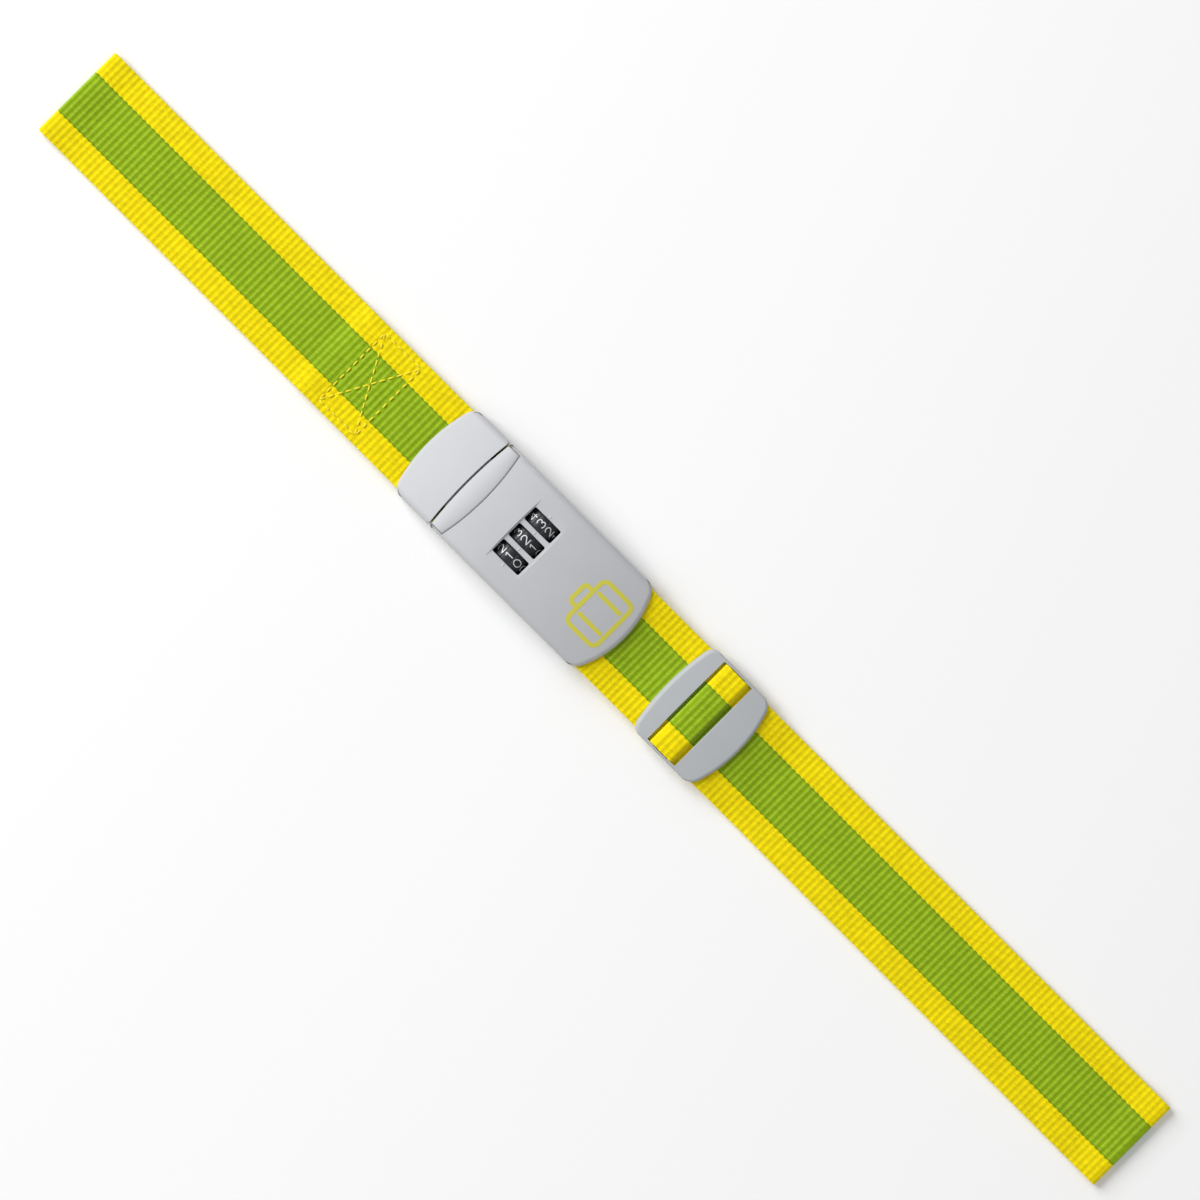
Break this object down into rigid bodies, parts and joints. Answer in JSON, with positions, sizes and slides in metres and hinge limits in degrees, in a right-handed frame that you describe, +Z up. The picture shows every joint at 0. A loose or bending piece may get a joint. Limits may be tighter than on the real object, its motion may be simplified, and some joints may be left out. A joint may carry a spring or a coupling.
{
  "type": "luggage strap",
  "caption": "Flat two-tone webbing strap, folded as a closed loop, with a combination lock, a push-in tongue and an adjusting slider.",
  "frame": {"origin": "middle of the strap's length and width, on the surface that it lies on", "axes": "+X along the strap from the tongue's end to the slider's end, +Z up out of the lock's face, +Y across the strap"},
  "size_m": [0.6844, 0.053, 0.0203],
  "materials": {
    "silver_plastic": "satin silver-grey moulded plastic",
    "grey_plastic": "matt mid-grey moulded plastic",
    "black_plastic": "black moulded plastic with white numbers",
    "dark_plastic": "dark moulded plastic",
    "steel": "plated steel",
    "webbing": "ribbed webbing, green middle stripe and yellow edges",
    "thread": "yellow sewing thread",
    "print": "yellow print"
  },
  "bodies": {
    "lock": {"lock_cover": "silver_plastic", "lock_base": "grey_plastic", "latch_spring": "steel", "button_spring_left": "steel", "button_spring_right": "steel", "dial_shaft": "steel", "detent_spring": "steel", "lock_webbing_bar": "steel", "lock_screw_1": "steel", "lock_screw_2": "steel", "lock_screw_3": "steel", "lock_screw_4": "steel", "webbing_floor": "webbing", "webbing_left_fold": "webbing", "webbing_right_fold": "webbing", "webbing_left_run": "webbing", "webbing_right_run": "webbing", "webbing_slider_run": "webbing", "webbing_lock_loop": "webbing", "webbing_return_run": "webbing"},
    "tongue": {"tongue_cover": "silver_plastic", "tongue_base": "grey_plastic", "tongue_blade": "steel", "tongue_webbing_bar": "steel", "tongue_screw_1": "steel", "tongue_screw_2": "steel", "webbing_tongue_loop": "webbing"},
    "button": {"release_button": "silver_plastic"},
    "dial_1": {"dial_1": "black_plastic", "dial_sleeve_1": "dark_plastic"},
    "dial_2": {"dial_2": "black_plastic", "dial_sleeve_2": "dark_plastic"},
    "dial_3": {"dial_3": "black_plastic", "dial_sleeve_3": "dark_plastic"},
    "slider": {"slider_frame": "grey_plastic", "webbing_slider_hump": "webbing", "webbing_slider_loop": "webbing"}
  },
  "joints": [
    {"name": "tongue_slide", "type": "slide", "parent": "lock", "child": "tongue", "axis": [-1, 0, 0], "range_m": [0, 0.022], "deforming": ["webbing_left_run", "latch_spring"]},
    {"name": "button_press", "type": "slide", "parent": "lock", "child": "button", "axis": [0, 0, -1], "range_m": [0, 0.0015], "stiffness_N_per_m": 2500, "springref_m": -0.0004, "deforming": ["latch_spring", "button_spring_left", "button_spring_right"]},
    {"name": "dial_1_turn", "type": "hinge", "parent": "lock", "child": "dial_1", "pos_m": [-0.0501, -0.01025, 0.0117], "axis": [0, 1, 0], "continuous": true},
    {"name": "dial_2_turn", "type": "hinge", "parent": "lock", "child": "dial_2", "pos_m": [-0.0501, 0, 0.0117], "axis": [0, 1, 0], "continuous": true},
    {"name": "dial_3_turn", "type": "hinge", "parent": "lock", "child": "dial_3", "pos_m": [-0.0501, 0.01025, 0.0117], "axis": [0, 1, 0], "continuous": true},
    {"name": "slider_slide", "type": "slide", "parent": "lock", "child": "slider", "axis": [1, 0, 0], "range_m": [-0.012, 0.03], "deforming": ["webbing_slider_run", "webbing_return_run", "webbing_right_run"]}
  ]
}
